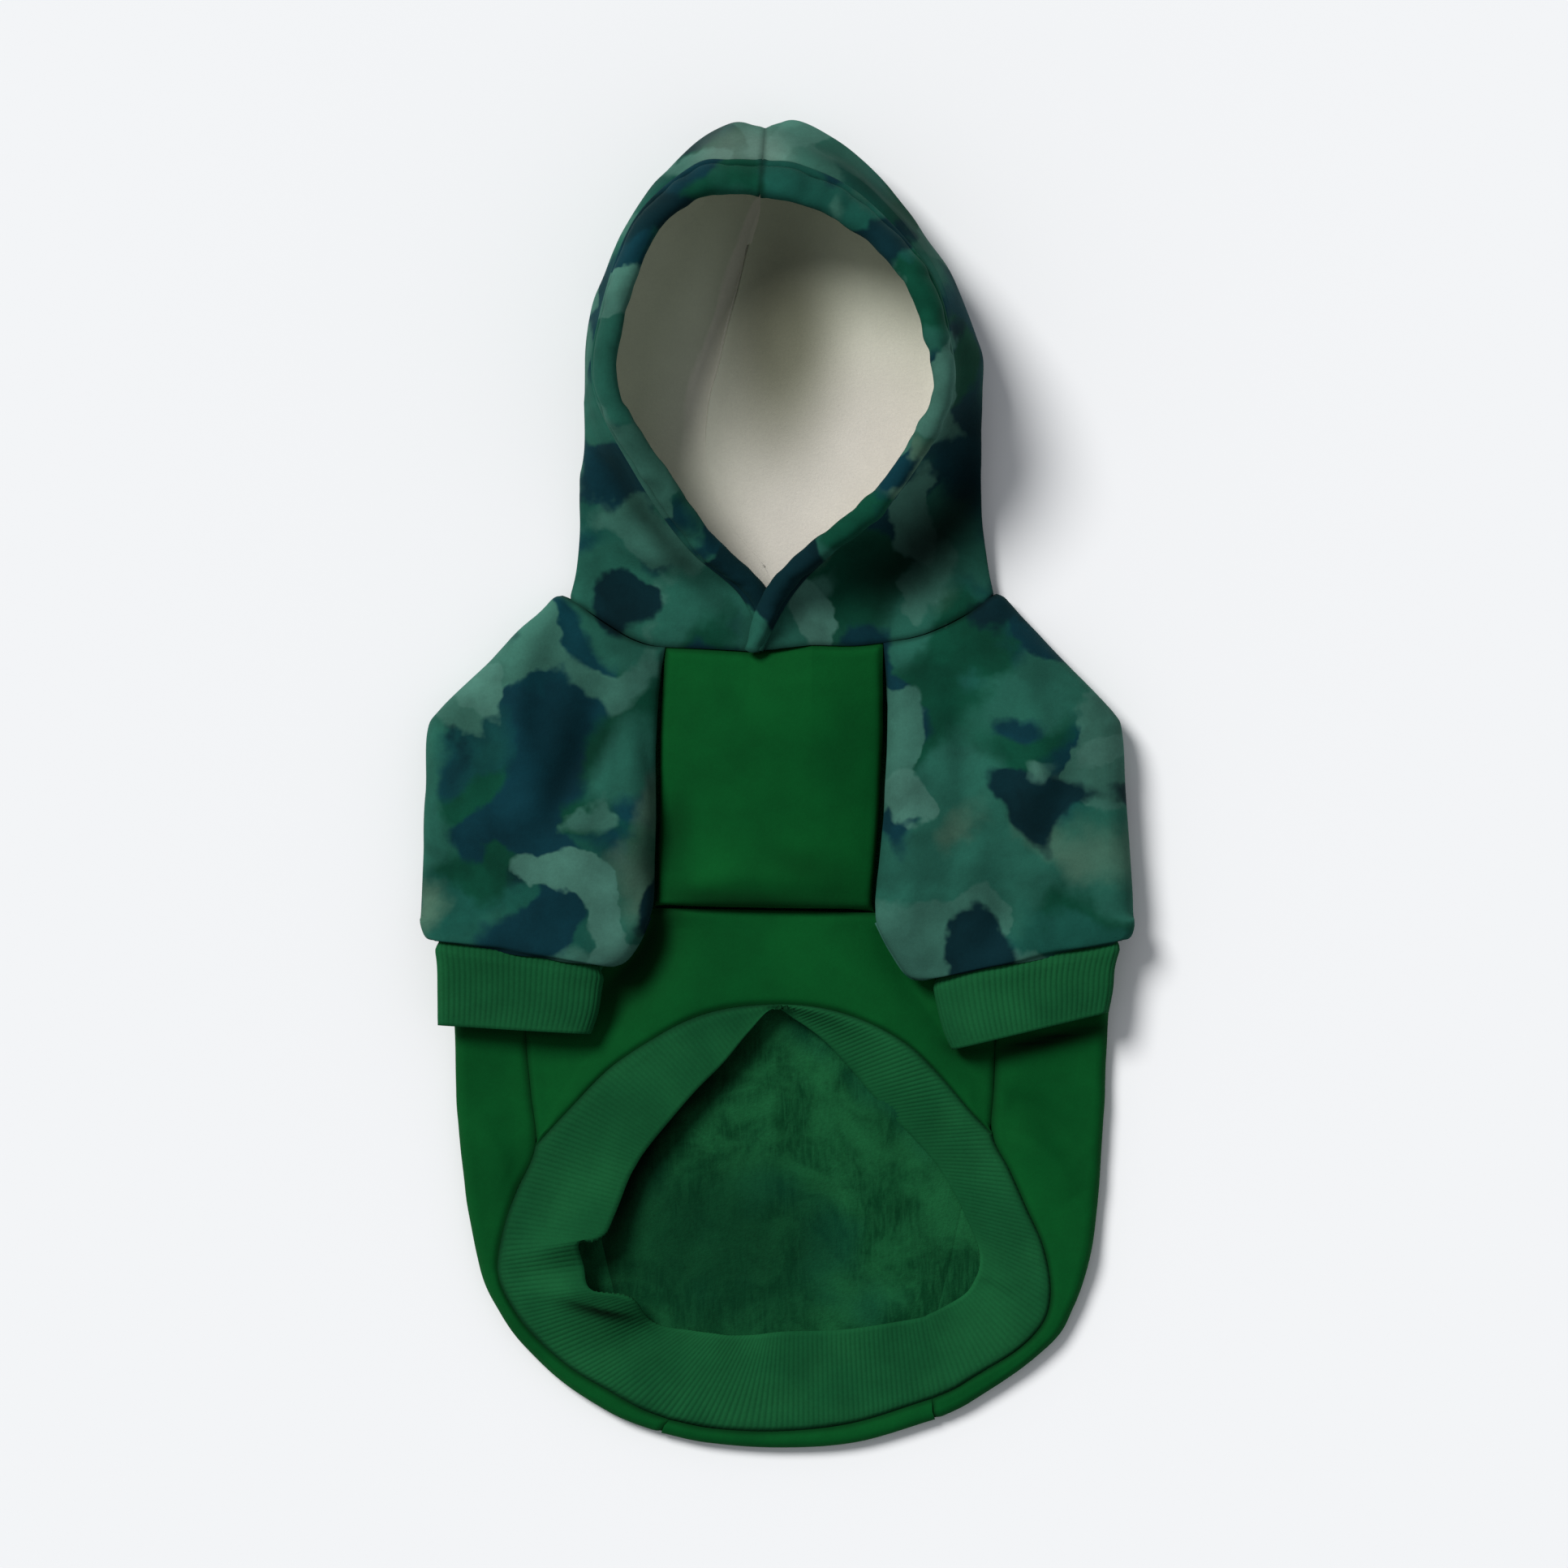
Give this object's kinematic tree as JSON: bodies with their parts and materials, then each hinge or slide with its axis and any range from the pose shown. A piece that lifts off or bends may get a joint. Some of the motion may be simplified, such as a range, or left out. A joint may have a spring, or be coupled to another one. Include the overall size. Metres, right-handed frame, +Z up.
{
  "type": "dog hoodie",
  "caption": "Hooded fleece coat for a dog with short ribbed sleeves and a ribbed hem, laid flat on its back with the face opening up.",
  "frame": {"origin": "on the floor under the middle of the coat's back, where it rests", "axes": "+Z up from the floor towards the belly side, +Y along the coat towards the top of the hood, +X to the right as seen from above"},
  "size_m": [0.3508, 0.6531, 0.0797],
  "materials": {
    "camo_fleece": "brushed jersey with a soft camouflage pattern in greens and blue green",
    "green_fleece": "plain deep green sweatshirt jersey, brushed inside",
    "green_rib": "deep green one by one rib knit",
    "hood_lining": "cream brushed jersey"
  },
  "bodies": {
    "root": {"hood_left": "camo_fleece", "hood_right": "camo_fleece", "hood_lining_left": "hood_lining", "hood_lining_right": "hood_lining", "face_hem_left": "camo_fleece", "face_hem_right": "camo_fleece", "chest_panel": "green_fleece", "belly_panel": "green_fleece", "side_panel_left": "green_fleece", "side_panel_right": "green_fleece", "back_panel": "green_fleece", "sleeve_left": "camo_fleece", "sleeve_right": "camo_fleece", "cuff_left": "green_rib", "cuff_right": "green_rib", "hem_band": "green_rib"}
  },
  "joints": []
}
